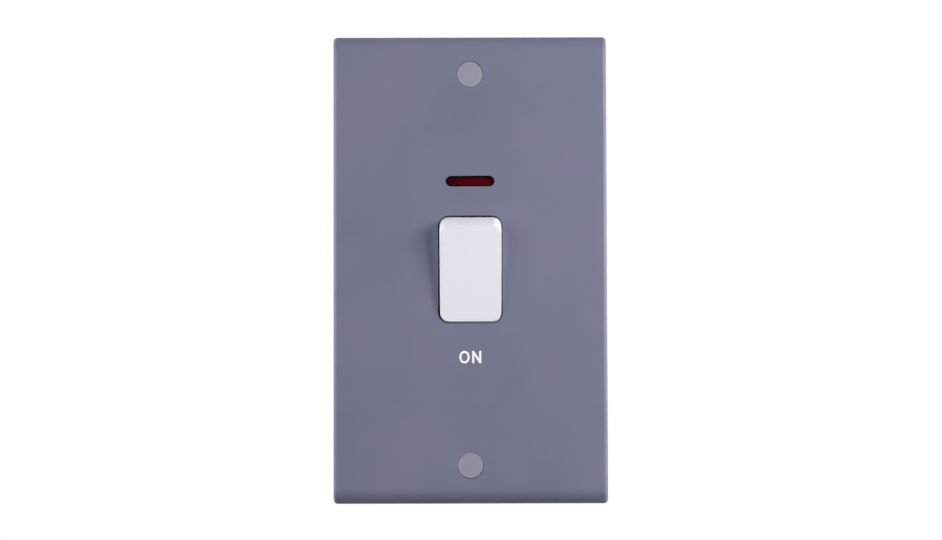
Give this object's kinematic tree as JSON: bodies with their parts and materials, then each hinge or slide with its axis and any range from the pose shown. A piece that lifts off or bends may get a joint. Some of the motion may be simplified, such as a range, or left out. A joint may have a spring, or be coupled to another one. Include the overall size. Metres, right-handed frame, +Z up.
{
  "type": "double pole switch",
  "caption": "Vertical two-gang plate switch: a rocker that opens both poles, with a neon window, screw covers, contacts and cable terminals.",
  "frame": {"origin": "middle of the plate on the plane of its rear rim, which is the wall", "axes": "+Z up, +X to the right seen from the front, the front faces -Y and the mechanism reaches behind the wall to +Y"},
  "size_m": [0.086, 0.0342, 0.146],
  "materials": {
    "plate_grey": "satin",
    "rocker_white": "semi-gloss",
    "cover_grey": "satin",
    "moulding_white": "matt",
    "lens_red": "translucent gloss",
    "lamp_glass": "clear",
    "resistor_body": "matt lacquer",
    "lead_wire": "tinned",
    "plunger_black": "satin",
    "spring_steel": "drawn wire",
    "copper_strip": "rolled",
    "contact_silver": "bright",
    "terminal_brass": "machined",
    "screw_brass": "turned",
    "screw_steel": "zinc plated"
  },
  "bodies": {
    "root": {"front_plate": "plate_grey", "rocker_cradle": "moulding_white", "housing_base": "moulding_white", "neon_lens": "lens_red", "neon_lamp": "lamp_glass", "neon_resistor": "resistor_body", "neon_lead_link": "lead_wire", "neon_lead_left": "lead_wire", "neon_lead_right": "lead_wire", "load_strip_left": "copper_strip", "load_strip_right": "copper_strip", "supply_strip_left": "copper_strip", "supply_strip_right": "copper_strip", "fixed_contact_left": "contact_silver", "fixed_contact_right": "contact_silver", "load_terminal_left": "terminal_brass", "load_terminal_right": "terminal_brass", "supply_terminal_left": "terminal_brass", "supply_terminal_right": "terminal_brass", "earth_terminal": "terminal_brass", "load_screw_left_1": "screw_brass", "load_screw_left_2": "screw_brass", "load_screw_right_1": "screw_brass", "load_screw_right_2": "screw_brass", "supply_screw_left_1": "screw_brass", "supply_screw_left_2": "screw_brass", "supply_screw_right_1": "screw_brass", "supply_screw_right_2": "screw_brass", "earth_screw_left": "screw_brass", "earth_screw_right": "screw_brass", "clamp_screw_1": "screw_steel", "clamp_screw_2": "screw_steel", "clamp_screw_3": "screw_steel", "clamp_screw_4": "screw_steel", "fixing_screw_top": "screw_steel", "fixing_screw_bottom": "screw_steel"},
    "rocker": {"rocker": "rocker_white", "plunger_spring_left": "spring_steel", "plunger_spring_right": "spring_steel"},
    "screw_cover_top": {"screw_cover_top": "cover_grey"},
    "screw_cover_bottom": {"screw_cover_bottom": "cover_grey"},
    "plunger_left": {"plunger_left": "plunger_black"},
    "contact_bar_left": {"contact_bar_left": "copper_strip", "moving_contact_left": "contact_silver"},
    "plunger_right": {"plunger_right": "plunger_black"},
    "contact_bar_right": {"contact_bar_right": "copper_strip", "moving_contact_right": "contact_silver"}
  },
  "joints": [
    {"name": "rocker_tilt", "type": "hinge", "parent": "root", "child": "rocker", "pos_m": [0, -0.0016, 0], "axis": [-1, 0, 0], "range_deg": [0, 16]},
    {"name": "plunger_slide_left", "type": "slide", "parent": "rocker", "child": "plunger_left", "axis": [0, -0.9903, -0.1392], "range_m": [0, 0.0008], "stiffness_N_per_m": 300, "springref_m": -0.002, "deforming": ["plunger_spring_left"]},
    {"name": "bar_rock_left", "type": "hinge", "parent": "root", "child": "contact_bar_left", "pos_m": [-0.0047, 0.011, 0], "axis": [1, 0, 0], "range_deg": [0, 16]},
    {"name": "plunger_slide_right", "type": "slide", "parent": "rocker", "child": "plunger_right", "axis": [0, -0.9903, -0.1392], "range_m": [0, 0.0008], "stiffness_N_per_m": 300, "springref_m": -0.002, "deforming": ["plunger_spring_right"]},
    {"name": "bar_rock_right", "type": "hinge", "parent": "root", "child": "contact_bar_right", "pos_m": [0.0047, 0.011, 0], "axis": [1, 0, 0], "range_deg": [0, 16]},
    {"name": "cover_pull_top", "type": "slide", "parent": "root", "child": "screw_cover_top", "axis": [0, -1, 0], "range_m": [0, 0.005]},
    {"name": "cover_pull_bottom", "type": "slide", "parent": "root", "child": "screw_cover_bottom", "axis": [0, -1, 0], "range_m": [0, 0.005]}
  ],
  "couplings": [
    {"joint": "bar_rock_left", "follows": "rocker_tilt", "ratio": 1},
    {"joint": "bar_rock_right", "follows": "rocker_tilt", "ratio": 1}
  ]
}
